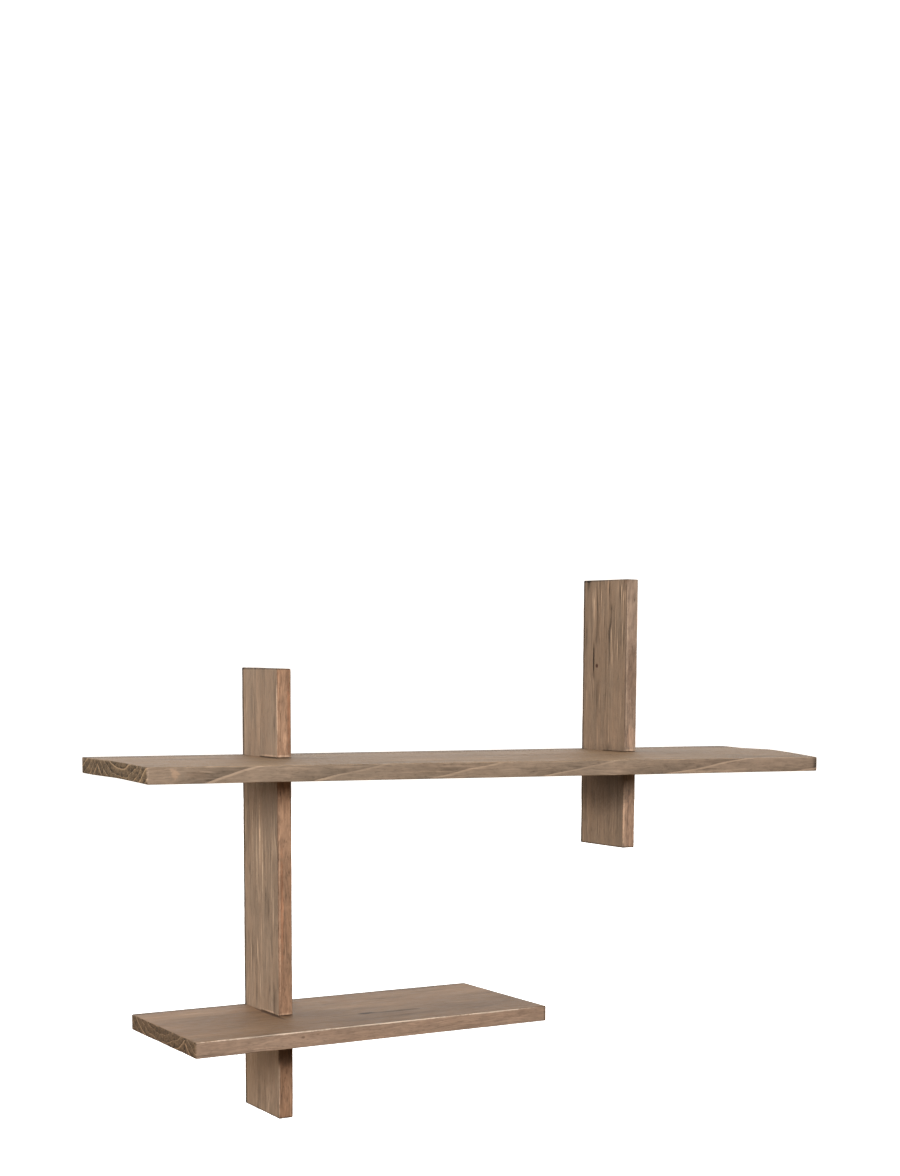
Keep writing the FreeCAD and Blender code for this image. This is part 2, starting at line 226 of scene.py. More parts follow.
def plankTree(look):
    # a board with rounded arrises that wander as hand-finished ones do, less what the cutters take out
    tree = bpy.data.node_groups.new("plank", "GeometryNodeTree")
    sockets = {
        "Vector": ("Size", "Centre", "Soft Corner", "Seed"),
        "Rotation": ("Turn",),
        "Int": ("Cells Along", "Cells Across", "Cells Through", "Arris Cells"),
        "Float": ("Arris Radius", "Arris Wander", "Wander Length", "Waviness", "Wave Length",
                  "Corner Radius", "Soft Corner Extra", "Near Drop", "Far Drop", "Near Rise", "Far Rise",
                  "Flat Band", "Near Slant", "Far Slant"),
        "Object": ("Slots", "Bores"),
        "Material": ("Wood",),
    }
    tree.interface.new_socket("Board", in_out="OUTPUT", socket_type="NodeSocketGeometry")
    for kind, names in sockets.items():
        for name in names:
            tree.interface.new_socket(name, in_out="INPUT", socket_type="NodeSocket" + kind)
    given = tree.nodes.new("NodeGroupInput").outputs

    node = partial(addNode, tree)
    size = given["Size"]
    half = node(vectorNode, {0: size, "Scale": 0.5}, operation="SCALE")
    counts = [given["Cells " + way] for way in ("Along", "Across", "Through")]
    cells = node(joinNode, counts)
    points = [node(mathNode, [count, 1.0]) for count in counts]
    block = node("GeometryNodeMeshCube", [size] + points)
    place = node("GeometryNodeInputPosition")

    # rows of points are moved close together at the arrises and spread evenly between them
    radii = node(joinNode, [given["Arris Radius"]] * 3)
    rows = node(joinNode, [given["Arris Cells"]] * 3)
    side = node(vectorNode, [place], operation="SIGN")
    inward = node(vectorNode, [half, node(vectorNode, [place], operation="ABSOLUTE")], operation="SUBTRACT")
    cellSize = node(vectorNode, [size, cells], operation="DIVIDE")
    steps = node(vectorNode, [inward, cellSize], operation="DIVIDE")
    arrisSteps = node(vectorNode, [steps, rows], operation="MINIMUM")
    flatSteps = node(vectorNode, [steps, arrisSteps], operation="SUBTRACT")
    share = node(vectorNode, [arrisSteps, rows], operation="DIVIDE")
    left = node(vectorNode, [(1.0, 1.0, 1.0), share], operation="SUBTRACT")
    lean = node(vectorNode, {0: left, "Scale": math.radians(45)}, operation="SCALE")
    slope = node(vectorNode, [lean], operation="TANGENT")
    fall = node(vectorNode, [(1.0, 1.0, 1.0), slope], operation="SUBTRACT")
    arrisPart = node(vectorNode, [fall, radii], operation="MULTIPLY")
    halfCells = node(vectorNode, {0: cells, "Scale": 0.5}, operation="SCALE")
    flatCells = node(vectorNode, [halfCells, rows], operation="SUBTRACT")
    flatSpan = node(vectorNode, [half, radii], operation="SUBTRACT")
    flatSize = node(vectorNode, [flatSpan, flatCells], operation="DIVIDE")
    flatPart = node(vectorNode, [flatSteps, flatSize], operation="MULTIPLY")
    depth = node(vectorNode, [arrisPart, flatPart])
    outward = node(vectorNode, [half, depth], operation="SUBTRACT")
    spread = node(vectorNode, [side, outward], operation="MULTIPLY")

    # the arris radius wanders along the board
    seeded = node(vectorNode, [spread, given["Seed"]])
    wanderScale = node(mathNode, [1.0, given["Wander Length"]], operation="DIVIDE")
    wanderNoise = node(noiseNode, {"Vector": seeded, "Scale": wanderScale, "Detail": 3.0, "Roughness": 0.6})
    wander = node(rangeNode, {"Value": wanderNoise, **noiseSpan, "To Min": -1.0, "To Max": 1.0})
    extra = node(mathNode, [wander, given["Arris Wander"]], operation="MULTIPLY")
    radius = node(mathNode, [given["Arris Radius"], extra])
    radiusVector = node(joinNode, [radius] * 3)
    core = node(vectorNode, [half, radiusVector], operation="SUBTRACT")
    held = node(vectorNode, [outward, core], operation="MINIMUM")
    centre = node(vectorNode, [side, held], operation="MULTIPLY")
    offset = node(vectorNode, [spread, centre], operation="SUBTRACT")
    normal = node(vectorNode, [offset], operation="NORMALIZE")
    waveScale = node(mathNode, [1.0, given["Wave Length"]], operation="DIVIDE")
    waveNoise = node(noiseNode, {"Vector": seeded, "Scale": waveScale, "Detail": 2.0})
    wave = node(mathNode, [waveNoise, given["Waviness"]], operation="MULTIPLY")
    reach = node(mathNode, [radius, wave], operation="SUBTRACT")
    rounded = node(vectorNode, {0: normal, "Scale": reach}, operation="SCALE")
    shaped = node(vectorNode, [centre, rounded])

    # corners are rounded in plan, one of them more than the others
    match = node(vectorNode, [side, given["Soft Corner"]], operation="DOT_PRODUCT", out="Value")
    chosen = node(mathNode, [match, 1.5], operation="GREATER_THAN")  # both signs agree at that corner alone
    softer = node(mathNode, [chosen, given["Soft Corner Extra"]], operation="MULTIPLY")
    cornerRadius = node(mathNode, [given["Corner Radius"], softer])
    cornerVector = node(joinNode, [cornerRadius, cornerRadius, 0.0])
    plan = node(vectorNode, [shaped, (1.0, 1.0, 0.0)], operation="MULTIPLY")
    planSize = node(vectorNode, [plan], operation="ABSOLUTE")
    planHalf = node(vectorNode, [half, (1.0, 1.0, 0.0)], operation="MULTIPLY")
    planCore = node(vectorNode, [planHalf, cornerVector], operation="SUBTRACT")
    outside = node(vectorNode, [planSize, planCore], operation="SUBTRACT")
    beyond = node(vectorNode, [outside, (0.0, 0.0, 0.0)], operation="MAXIMUM")
    beyondLength = node(vectorNode, [beyond], operation="LENGTH", out="Value")
    parts = node(splitNode, [beyond]).node.outputs
    longest = node(mathNode, [parts["X"], parts["Y"]], operation="MAXIMUM")
    divisor = node(mathNode, [beyondLength, 1e-9], operation="MAXIMUM")  # never zero
    shrink = node(mathNode, [longest, divisor], operation="DIVIDE")
    missing = node(mathNode, [1.0, shrink], operation="SUBTRACT")
    pulledBack = node(vectorNode, {0: beyond, "Scale": missing}, operation="SCALE")
    shortest = node(mathNode, [parts["X"], parts["Y"]], operation="MINIMUM")
    isCorner = node(mathNode, [shortest, 1e-6], operation="GREATER_THAN")
    pull = node(vectorNode, [side, pulledBack], operation="MULTIPLY")
    pull = node(vectorNode, {0: pull, "Scale": isCorner}, operation="SCALE")
    cornered = node(vectorNode, [shaped, pull], operation="SUBTRACT")

    # a dry board's warp: in front of its middle it droops towards the far end, and behind the flat band
    # that the joints hold it lifts; an end may be sawn a little out of square
    x, y = node(splitNode, [cornered]).node.outputs[:2]
    halfX, halfY = node(splitNode, [half]).node.outputs[:2]
    minusHalfX = node(mathNode, [halfX, -1.0], operation="MULTIPLY")
    minusHalfY = node(mathNode, [halfY, -1.0], operation="MULTIPLY")
    farther = node(rangeNode, {"Value": x, "From Min": minusHalfX, "From Max": halfX})
    toFront = node(mathNode, [y, -1.0], operation="MULTIPLY")
    frontShare = node(rangeNode, {"Value": toFront, "From Min": 0.0, "From Max": halfY})
    frontShare = node(mathNode, [frontShare, look["frontBend"]], operation="POWER")
    backShare = node(rangeNode, {"Value": y, "From Min": given["Flat Band"], "From Max": halfY})
    backShare = node(mathNode, [backShare, look["backBend"]], operation="POWER")
    drop = node(mixNode, {0: farther, 2: given["Near Drop"], 3: given["Far Drop"]})
    drop = node(mathNode, [drop, frontShare], operation="MULTIPLY")
    lift = node(mixNode, {0: farther, 2: given["Near Rise"], 3: given["Far Rise"]})
    lift = node(mathNode, [lift, backShare], operation="MULTIPLY")
    warp = node(mathNode, [lift, drop], operation="SUBTRACT")
    farStart = node(mathNode, [halfX, look["slantStart"]], operation="MULTIPLY")
    atFar = node(rangeNode, {"Value": x, "From Min": farStart, "From Max": halfX})
    nearStart = node(mathNode, [halfX, -look["slantStart"]], operation="MULTIPLY")
    atNear = node(rangeNode, {"Value": x, "From Min": minusHalfX, "From Max": nearStart,
                              "To Min": 1.0, "To Max": 0.0})
    frontness = node(rangeNode, {"Value": toFront, "From Min": minusHalfY, "From Max": halfY})
    backness = node(mathNode, [1.0, frontness], operation="SUBTRACT")
    farSlant = node(mathNode, [atFar, frontness], operation="MULTIPLY")
    farSlant = node(mathNode, [farSlant, given["Far Slant"]], operation="MULTIPLY")
    nearSlant = node(mathNode, [atNear, backness], operation="MULTIPLY")
    nearSlant = node(mathNode, [nearSlant, given["Near Slant"]], operation="MULTIPLY")
    shift = node(mathNode, [node(mathNode, [farSlant, nearSlant]), -1.0], operation="MULTIPLY")
    moved = node(joinNode, [shift, 0.0, warp])
    final = node(vectorNode, [cornered, moved])
    board = node("GeometryNodeSetPosition", {"Geometry": block, "Position": final})
    board = node("GeometryNodeTransform", {"Geometry": board, "Translation": given["Centre"],
                                           "Rotation": given["Turn"]})

    for cutter in ("Slots", "Bores"):
        shape = node("GeometryNodeObjectInfo", {"Object": given[cutter]}, out="Geometry")
        board = node("GeometryNodeMeshBoolean", {"Mesh 1": board, "Mesh 2": shape}, operation="DIFFERENCE",
                     solver="EXACT")
    angle = node("GeometryNodeInputMeshEdgeAngle")
    crease = node(mathNode, [angle, math.radians(look["creaseAngle"])], operation="GREATER_THAN")
    board = node("GeometryNodeSetShadeSmooth", {"Geometry": board, "Shade Smooth": True}, domain="FACE")
    board = node("GeometryNodeSetShadeSmooth",
                 {"Geometry": board, "Selection": crease, "Shade Smooth": False}, domain="EDGE")
    board = node("GeometryNodeRealizeInstances", [board])
    board = node("GeometryNodeSetMaterial", {"Geometry": board, "Material": given["Wood"]})
    tree.links.new(board, tree.nodes.new("NodeGroupOutput").inputs["Board"])
    return tree


plank = plankTree(plankShape)
print("plank tree built:", len(plank.nodes), "nodes")

joinery = {
    "fit": 0.15, "overrun": 8.0, "notchFlare": 0.7, "slotFlare": 0.35,  # mm
    "plateFit": 0.15, "pocketRadius": 5.5, "pocketDepth": 9.0, "pocketTravel": 12.0,
    "headFit": 0.1, "headRim": 0.5,  # round a joint screw's head, and the straight edge of the head
    "headPastShank": 2.4, "headPastPilot": 2.55,  # how much wider in radius the head's hole is than these
    "boreRun": 0.5, "pilotRun": 1.0, "pilotFit": 0.05,
}
joinery = {name: value * millimetre for name, value in joinery.items()}
boreSides = 32


def cutBlock(mesh, low, high, through, openEnd, faces, flare):
    # a halving cut: it runs right through one way, is open at one end and flares where it meets a face
    grids = []
    for axis in range(3):
        stops = [low[axis], high[axis]]
        if axis == through:
            stops = [low[axis], faces[0], faces[0] + flare, faces[1] - flare, faces[1], high[axis]]
        if axis == openEnd[0]:
            stops = sorted([low[axis], high[axis], openEnd[1], openEnd[1] + openEnd[2] * flare])
        grids.append(stops)
    width = 3 - through - openEnd[0]
    middle = (low[width] + high[width]) / 2
    rings = []
    for inOpen in grids[openEnd[0]]:
        ring = []
        for sign in (-1, 1):
            steps = grids[through] if sign < 0 else grids[through][::-1]
            for inThrough in steps:
                past = max(faces[0] + flare - inThrough, inThrough - faces[1] + flare, 0.0)
                pastEnd = (inOpen - openEnd[1]) * openEnd[2]
                point = [0.0, 0.0, 0.0]
                point[through] = inThrough
                point[openEnd[0]] = inOpen
                widening = min(max(past, pastEnd, 0.0), flare)
                point[width] = middle + sign * ((high[width] - low[width]) / 2 + widening)
                ring.append(mesh.verts.new(point))
        rings.append(ring)
    for first, second in zip(rings, rings[1:]):
        for i in range(len(first)):
            j = (i + 1) % len(first)
            mesh.faces.new((first[i], first[j], second[j], second[i]))
    for ring in (rings[0], rings[-1]):
        count = len(ring) // 2
        for i in range(count - 1):
            mesh.faces.new((ring[i], ring[i + 1], ring[-i - 2], ring[-i - 1]))


def cutTurned(mesh, place, profile, travel=0.0):
    # a turned or stadium-shaped cut along -Y: its profile is (radius, how far in from place)
    rings = []
    for radius, inward in profile:
        ring = []
        for i in range(boreSides):
            turn = 2 * math.pi * (i + 0.5) / boreSides
            lift = travel if math.sin(turn) > 0 else 0.0
            ring.append(mesh.verts.new((place[0] + radius * math.cos(turn), place[1] - inward,
                                        place[2] + lift + radius * math.sin(turn))))
        rings.append(ring)
    for first, second in zip(rings, rings[1:]):
        for i in range(boreSides):
            j = (i + 1) % boreSides
            mesh.faces.new((first[i], first[j], second[j], second[i]))
    mesh.faces.new(rings[0][::-1])
    mesh.faces.new(rings[-1])


def finishCutter(name, mesh):
    bmesh.ops.triangulate(mesh, faces=[face for face in mesh.faces if len(face.verts) == 4])
    bmesh.ops.recalc_face_normals(mesh, faces=mesh.faces)
    data = bpy.data.meshes.new(name)
    mesh.to_mesh(data)
    mesh.free()
    return addObject(name, data)


crossings = (
    ("upper_shelf", "left_upright", "upper_left_joint_screw"),
    ("upper_shelf", "right_upright", "upper_right_joint_screw"),
    ("lower_shelf", "left_upright", "lower_joint_screw"),
)
hangers = {"left_upright": "left", "right_upright": "right"}


def boardCutters(board):
    slots, bores = bmesh.new(), bmesh.new()
    cut = joinery
    for shelf, upright, screw in crossings:
        if board not in (shelf, upright):
            continue
        shelfLow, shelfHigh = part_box(shelf)
        postLow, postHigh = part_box(upright)
        screwLow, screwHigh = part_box(screw)
        backOfCut = (postLow.y + postHigh.y) / 2
        middle = (screwLow + screwHigh) / 2
        headRadius = (screwHigh.x - screwLow.x) / 2 + cut["headFit"]
        if board == upright:
            low = [postLow.x - cut["overrun"], postLow.y - cut["overrun"], shelfLow.z - cut["fit"]]
            high = [postHigh.x + cut["overrun"], backOfCut, shelfHigh.z + cut["fit"]]
            cutBlock(slots, low, high, 0, (1, postLow.y + cut["notchFlare"], -1), (postLow.x, postHigh.x),
                     cut["notchFlare"])
            # a countersunk hole for the head and the shank, through into the notch
            shank = headRadius - cut["headPastShank"]
            seat = screwHigh.y - cut["headRim"]
            cutTurned(bores, (middle.x, postHigh.y, middle.z), (
                (headRadius, -cut["overrun"]), (headRadius, -seat),
                (shank, -seat + headRadius - shank), (shank, postHigh.y - backOfCut + cut["boreRun"])))
        else:
            low = [postLow.x - cut["fit"], backOfCut, shelfLow.z - cut["overrun"]]
            high = [postHigh.x + cut["fit"], shelfHigh.y + cut["overrun"], shelfHigh.z + cut["overrun"]]
            cutBlock(slots, low, high, 2, (1, shelfHigh.y - cut["slotFlare"], 1), (shelfLow.z, shelfHigh.z),
                     cut["slotFlare"])
            pilot = headRadius - cut["headPastPilot"]
            cutTurned(bores, (middle.x, backOfCut, middle.z), (
                (pilot, -cut["overrun"]), (pilot, backOfCut - screwLow.y + cut["pilotRun"])))
    if board in hangers:
        # the plate's recess, and behind its keyhole, at z = 0, the pocket for the wall screw's head
        plateLow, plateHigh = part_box(hangers[board] + "_hanger_plate")
        width = plateHigh.x - plateLow.x
        radius = width / 2 + cut["plateFit"]
        centreX = (plateLow.x + plateHigh.x) / 2
        thickness = plateHigh.y - plateLow.y
        cutTurned(slots, (centreX, plateHigh.y, plateLow.z + width / 2),
                  ((radius, -cut["overrun"]), (radius, thickness)), plateHigh.z - plateLow.z - width)
        cutTurned(bores, (centreX, plateHigh.y, 0.0),
                  ((cut["pocketRadius"], -cut["overrun"]),
                   (cut["pocketRadius"], thickness + cut["pocketDepth"])), cut["pocketTravel"])
        for end in ("top", "bottom"):
            screwLow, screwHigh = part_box(hangers[board] + "_hanger_screw_" + end)
            middle = (screwLow + screwHigh) / 2
            pilot = (screwHigh.x - screwLow.x) / 4 + cut["pilotFit"]  # a shank is half a head wide
            cutTurned(bores, (middle.x, screwHigh.y, middle.z),
                      ((pilot, -cut["overrun"]), (pilot, screwHigh.y - screwLow.y + cut["pilotRun"])))
    return finishCutter(board + "Slots", slots), finishCutter(board + "Bores", bores)


def greyWashedHardwood(name, look, centre, upright):
    # Sawn and hand-sanded hardwood under a thin grey wash: matt, streaked along the grain, warmer on the
    # edges; growth rings cross them as thin pale lines with a darker band, and arrises are rubbed pale,
    # with a painted highlight on the lit side and painted shade on the far side, the back and the ends; the
    # marks add painted shadows and painted light where they are listed.
    material = bpy.data.materials.new(name)
    material.use_nodes = True
    tree = material.node_tree
    node = partial(addNode, tree)

    # board coordinates in millimetres, and which way the surface faces in them
    place = node("ShaderNodeTexCoord", out="Object")
    fromCentre = node(vectorNode, [place, centre], operation="SUBTRACT")
    inMillimetres = node(vectorNode, {0: fromCentre, "Scale": 1000.0}, operation="SCALE")
    facing = node(vectorNode, [place.node.outputs["Normal"]], operation="ABSOLUTE")
    order = (2, 1, 0) if upright else (0, 1, 2)
    placeParts = node(splitNode, [inMillimetres]).node.outputs
    facingParts = node(splitNode, [facing]).node.outputs
    along, across, through = (placeParts[i] for i in order)
    endwise, edgewise, broadwise = (facingParts[i] for i in order)
    boardPlace = node(joinNode, [along, across, through])
    grain = boardPlace
    turned = {"From Min": 0.62, "From Max": 0.78}  # how far a surface turns before it counts as that face
    endFace = node(rangeNode, {"Value": endwise, **turned})
    narrowFace = node(rangeNode, {"Value": edgewise, **turned})

    def byFace(onBroad, onEdge, onEnd):
        # one number for each kind of board face
        edge = node(mixNode, {0: narrowFace, 2: onBroad, 3: onEdge})
        return node(mixNode, {0: endFace, 2: edge, 3: onEnd})

    def grainNoise(size, shift, detail=2.0, roughness=0.5):
        # noise stretched along the grain: its size is (along, across, through) in millimetres, and the
        # shift keeps it apart from the others
        stretched = node(vectorNode, [grain, tuple(1 / s for s in size)], operation="MULTIPLY")
        moved = node(vectorNode, [stretched, (look["seed"] + shift,) * 3])
        return node(noiseNode, {"Vector": moved, "Scale": 1.0, "Detail": detail, "Roughness": roughness})

    # from here on the grain wavers a little instead of running dead straight
    waver = node(rangeNode, {"Value": grainNoise((110, 35, 35), 17.9), **noiseSpan,
                             "To Min": -look["waver"], "To Max": look["waver"]})
    grain = node(vectorNode, [boardPlace, node(joinNode, [0.0, waver, waver])])

    # growth rings about a tilted pith; each stave of a glued board has its own pith
    drift = node(rangeNode, {"Value": grainNoise((260, 70, 70), 3.1),
                             "To Min": -look["ringDrift"], "To Max": look["ringDrift"]})
    stave = node(mathNode, [across, look["staveEdge"]], operation="GREATER_THAN")
    pithAcross = node(mixNode, {0: stave, 2: look["pith"][0], 3: look["secondPith"][0]})
    pithThrough = node(mixNode, {0: stave, 2: look["pith"][1], 3: look["secondPith"][1]})
    pithAcross = node(mathNode, [along, look["pithTilt"][0], pithAcross], operation="MULTIPLY_ADD")
    pithThrough = node(mathNode, [along, look["pithTilt"][1], pithThrough], operation="MULTIPLY_ADD")
    alongSquared = node(mathNode, [along, along], operation="MULTIPLY")
    pithThrough = node(mathNode, [alongSquared, look["pithBend"], pithThrough], operation="MULTIPLY_ADD")
    offAcross = node(mathNode, [node(mathNode, [across, pithAcross], operation="SUBTRACT"), drift])
    offThrough = node(mathNode, [through, pithThrough], operation="SUBTRACT")
    fromPith = node(joinNode, [offAcross, offThrough, 0.0])
    ringDistance = node(vectorNode, [fromPith], operation="LENGTH", out="Value")
    uneven = node(mathNode, [grainNoise((180, 22, 22), 7.7), look["ringUneven"], look["ringShift"]],
                  operation="MULTIPLY_ADD")
    ringCount = node(mathNode, [ringDistance, 1 / look["ringWidth"], uneven], operation="MULTIPLY_ADD")
    ringPlace = node(mathNode, [ringCount], operation="FRACT")
    ringLevels = []
    for profile in (look["ringProfile"], look["endProfile"]):
        ramp = node("ShaderNodeValToRGB", [ringPlace])
        elements = ramp.node.color_ramp.elements
        elements.remove(elements[1])
        for i, (stop, level) in enumerate(profile):
            element = elements[0] if i == 0 else elements.new(stop)
            element.position = stop
            element.color = (level, level, level, 1.0)
        ringLevels.append(ramp)
    ring = node(mixNode, {0: endFace, 2: ringLevels[0], 3: ringLevels[1]})
    patchy = node(rangeNode, {"Value": grainNoise((70, 30, 30), 41.0), "From Min": 0.35, "From Max": 0.6,
                              "To Min": 0.5, "To Max": 1.0})
    ringShare = node(mathNode, [node(mathNode, [patchy, endFace], operation="MAXIMUM"),
                                byFace(*look["ringContrast"])], operation="MULTIPLY")
    tone = node(mathNode, [node(mathNode, [ring, 0.5], operation="SUBTRACT"), ringShare, 1.0],
                operation="MULTIPLY_ADD")
    fromJoint = node(mathNode, [node(mathNode, [across, look["staveEdge"]], operation="SUBTRACT")],
                     operation="ABSOLUTE")
    lineEdge, lineFade, lineTone = look["glueLine"]
    glueLine = node(rangeNode, {"Value": fromJoint, "From Min": lineEdge, "From Max": lineFade,
                                "To Min": lineTone, "To Max": 0.0})
    tone = node(mathNode, [glueLine, endFace, tone], operation="MULTIPLY_ADD")

    # streaks are stronger about one place on the board
    patchPlace, patchReach, patchBoost = look["streakPatch"]
    away = node(mathNode, [node(mathNode, [along, patchPlace], operation="SUBTRACT")], operation="ABSOLUTE")
    boost = node(rangeNode, {"Value": away, "From Min": patchReach * 0.4, "From Max": patchReach,
                             "To Min": patchBoost, "To Max": 1.0})
    clusters = node(rangeNode, {"Value": grainNoise((65, 22, 12), 47.0), "From Min": 0.42, "From Max": 0.6,
                                "To Min": 0.15, "To Max": 1.45})
    boost = node(mathNode, [boost, clusters], operation="MULTIPLY")
    layers = {}
    for i, (layer, size, detail, start, full, low, high, contrast) in enumerate(look["layers"]):
        noise = grainNoise(size, 11.3 + 6.1 * i, detail, 0.55)
        layers[layer] = node(rangeNode, {"Value": noise, "From Min": start, "From Max": full,
                                         "To Min": low, "To Max": high})
        strength = byFace(*contrast)
        if layer.endswith("Streak"):
            strength = node(mathNode, [strength, boost], operation="MULTIPLY")
        tone = node(mathNode, [layers[layer], strength, tone], operation="MULTIPLY_ADD")

    # arrises vary between pale and dark: on the side that faces the lit front they lean pale, rubbed wear
    # with a painted highlight; the far front, back and end arrises lean dark, painted shade where they turn
    # from the light
    sharpest = node(mathNode, [endwise, node(mathNode, [edgewise, broadwise], operation="MAXIMUM")],
                    operation="MAXIMUM")
    jitteredSquareness = node(mathNode, [grainNoise((14, 5, 5), 37.0, 3.0, 0.6), 0.5], operation="SUBTRACT")
    jitteredSquareness = node(mathNode, [jitteredSquareness, 0.35, sharpest], operation="MULTIPLY_ADD")
    arrisMiddle, arrisEdge = look["arrisSpan"]
    arris = node(rangeNode, {"Value": jitteredSquareness, "From Min": arrisMiddle, "From Max": arrisEdge,
                             "To Min": 1.0, "To Max": 0.0})
    wearAndShadeNoise = grainNoise((45, 30, 30), 53.0, 3.0, 0.6)
    kinds = {kind: node(rangeNode, {"Value": wearAndShadeNoise, "From Min": 0.38, "From Max": 0.6, "To Min": low,
                                    "To Max": high}) for kind, (low, high) in look["arrises"].items()}
    seen = node(mathNode, [through, look["seenSide"]], operation="MULTIPLY")
    seenFront = node(mathNode, [seen, 0.0], operation="GREATER_THAN")
    behind = node(mathNode, [across, 0.0], operation="GREATER_THAN")
    atEnd = node(mathNode, [endwise, 0.25], operation="GREATER_THAN")
    arrisShare = node(mixNode, {0: seenFront, 2: kinds["farFront"], 3: kinds["nearFront"]})
    arrisShare = node(mixNode, {0: behind, 2: arrisShare, 3: kinds["back"]})
    arrisShare = node(mixNode, {0: atEnd, 2: arrisShare, 3: kinds["end"]})
    tone = node(mathNode, [arris, arrisShare, tone], operation="MULTIPLY_ADD")
    # painted shade: darker towards the back edge on the broad faces and towards the ends, a dark outline
    # where the edges turn from the light
    ways = {"back": across, "farEnd": along, "nearEnd": node(mathNode, [along, -1.0], operation="MULTIPLY")}
    for where, start, full, amount in look["dirt"]:
        dirt = node(rangeNode, {"Value": ways[where], "From Min": start, "From Max": full,
                                "To Min": 0.0, "To Max": amount})
        unshadedFaces = endFace
        if where == "back":
            unshadedFaces = node(mathNode, [narrowFace, endFace], operation="MAXIMUM")
        tone = node(mathNode, [tone, node(mixNode, {0: unshadedFaces, 2: dirt, 3: 0.0})])

    # colour of each kind of face, the wash greyer in some places and the wood warmer in others
    edgeColour = node(mixNode, {0: narrowFace, 6: linearColour(look["broadColour"]),
                                7: linearColour(look["edgeColour"])}, out=2, data_type="RGBA")
    body = node(mixNode, {0: endFace, 6: edgeColour, 7: linearColour(look["endColour"])}, out=2,
                data_type="RGBA")
    warmth = node(rangeNode, {"Value": grainNoise((85, 16, 16), 61.0, 3.0, 0.6), **noiseSpan})
    tint = node(mixNode, {0: warmth, 6: (*look["coolTint"], 1.0), 7: (*look["warmTint"], 1.0)}, out=2,
                data_type="RGBA")
    body = node(vectorNode, [body, tint], operation="MULTIPLY")

    # single marks, each a ragged ellipsoid: marks in the wood, and the painted shadows and painted light
    # listed among them
    rough = node(mathNode, [grainNoise((4, 3, 3), 71.0, 3.0, 0.6), 0.5], operation="SUBTRACT")
    markFull, markGone = look["markSpan"]
    for markPlace, markSize, ragged, colour, share in look["marks"]:
        awayFromMark = node(vectorNode, [boardPlace, markPlace], operation="SUBTRACT")
        scaled = node(vectorNode, [awayFromMark, markSize], operation="DIVIDE")
        reach = node(vectorNode, [scaled], operation="LENGTH", out="Value")
        reach = node(mathNode, [rough, ragged, reach], operation="MULTIPLY_ADD")
        inside = node(rangeNode, {"Value": reach, "From Min": markFull, "From Max": markGone,
                                  "To Min": share, "To Max": 0.0})
        body = node(mixNode, {0: inside, 6: body, 7: linearColour(colour)}, out=2, data_type="RGBA")

    shader = tree.nodes["Principled BSDF"]
    final = node(vectorNode, {0: body, "Scale": tone}, operation="SCALE")
    tree.links.new(final, shader.inputs["Base Color"])
    roughness = node(rangeNode, {"Value": layers["mottle"], "From Min": -1.0,
                                 "To Min": look["roughness"][0], "To Max": look["roughness"][1]})
    tree.links.new(roughness, shader.inputs["Roughness"])
    shader.inputs["Specular IOR Level"].default_value = look["gloss"]

    # raised grain: hard ring lines and fibres stand up, pores and dark streaks lie low
    relief = node(mathNode, [ring, look["ringRelief"]], operation="MULTIPLY")
    for layer, height in look["relief"]:
        relief = node(mathNode, [layers[layer], height, relief], operation="MULTIPLY_ADD")
    bump = node("ShaderNodeBump", {"Height": relief, "Strength": look["reliefStrength"],
                                   "Distance": look["reliefDepth"] * millimetre})
    tree.links.new(bump, shader.inputs["Normal"])
    return material


